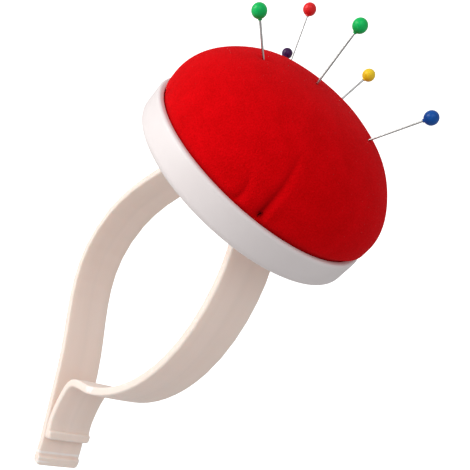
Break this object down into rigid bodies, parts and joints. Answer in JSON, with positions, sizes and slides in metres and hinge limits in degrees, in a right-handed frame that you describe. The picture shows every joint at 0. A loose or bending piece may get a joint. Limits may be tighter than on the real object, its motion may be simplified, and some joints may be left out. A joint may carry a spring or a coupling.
{
  "type": "wrist pin cushion",
  "caption": "Round stuffed pin cushion in a shallow plastic cup, worn on the wrist by a springy open band, with ball-headed pins stuck in it.",
  "frame": {"origin": "middle of the wrist seat, the flat underside of the band below the cup", "axes": "+Z along the axis of the cup and cushion, away from the wrist; X round the wrist, with the short arm of the band on +X; Y across the band"},
  "size_m": [0.0685, 0.0632, 0.1459],
  "materials": {
    "cup_plastic": "cool white moulded plastic, satin",
    "band_plastic": "natural ivory flexible plastic, slightly see-through, soft satin",
    "rivet_metal": "plain, tumbled",
    "glue": "set hot glue",
    "thread": "polyester sewing thread",
    "guard_card": "grey-brown board",
    "cover_cloth": "red short-pile cloth with a fine nap",
    "stuffing_fibre": "packed fibre",
    "pin_steel": "nickel-plated steel",
    "green": "glossy green ball",
    "red": "glossy red ball",
    "yellow": "glossy yellow ball",
    "indigo": "glossy dark indigo ball",
    "blue": "glossy blue ball"
  },
  "bodies": {
    "cushion_and_cup": {"cup": "cup_plastic", "band_bridge": "band_plastic", "left_rivet": "rivet_metal", "right_rivet": "rivet_metal", "left_rivet_washer": "rivet_metal", "right_rivet_washer": "rivet_metal", "glue_ring": "glue", "gathering_thread": "thread", "pin_guard_disc": "guard_card", "cushion_cover": "cover_cloth", "cushion_stuffing": "stuffing_fibre"},
    "long_arm": {"long_arm": "band_plastic"},
    "short_arm": {"short_arm": "band_plastic"},
    "left_green_pin": {"left_green_pin_shaft": "pin_steel", "left_green_pin_head": "green"},
    "red_pin": {"red_pin_shaft": "pin_steel", "red_pin_head": "red"},
    "right_green_pin": {"right_green_pin_shaft": "pin_steel", "right_green_pin_head": "green"},
    "yellow_pin": {"yellow_pin_shaft": "pin_steel", "yellow_pin_head": "yellow"},
    "indigo_pin": {"indigo_pin_shaft": "pin_steel", "indigo_pin_head": "indigo"},
    "blue_pin": {"blue_pin_shaft": "pin_steel", "blue_pin_head": "blue"}
  },
  "joints": [
    {"name": "long_arm_flex", "type": "hinge", "parent": "cushion_and_cup", "child": "long_arm", "pos_m": [-0.02234, 0, -0.00833], "axis": [0, 1, 0], "range_deg": [0, 22], "stiffness_Nm_per_rad": 0.25, "springref_deg": -5.73},
    {"name": "short_arm_flex", "type": "hinge", "parent": "cushion_and_cup", "child": "short_arm", "pos_m": [0.02364, 0, -0.00838], "axis": [0, -1, 0], "range_deg": [0, 32], "stiffness_Nm_per_rad": 0.25, "springref_deg": -5.73},
    {"name": "left_green_pin_push", "type": "slide", "parent": "cushion_and_cup", "child": "left_green_pin", "axis": [-0.2592, -0.6579, 0.7071], "range_m": [-0.0067, 0.0154]},
    {"name": "red_pin_push", "type": "slide", "parent": "cushion_and_cup", "child": "red_pin", "axis": [-0.565, -0.0395, 0.8241], "range_m": [-0.012, 0.0101]},
    {"name": "right_green_pin_push", "type": "slide", "parent": "cushion_and_cup", "child": "right_green_pin", "axis": [-0.034, -0.0933, 0.9951], "range_m": [-0.0119, 0.0102]},
    {"name": "yellow_pin_push", "type": "slide", "parent": "cushion_and_cup", "child": "yellow_pin", "axis": [-0.2781, 0.3509, 0.8942], "range_m": [-0.0071, 0.0142]},
    {"name": "indigo_pin_push", "type": "slide", "parent": "cushion_and_cup", "child": "indigo_pin", "axis": [-0.796, 0.3056, 0.5225], "range_m": [-0.0076, 0.0146]},
    {"name": "blue_pin_push", "type": "slide", "parent": "cushion_and_cup", "child": "blue_pin", "axis": [0.3146, 0.2985, 0.9011], "range_m": [-0.0109, 0.0112]}
  ]
}
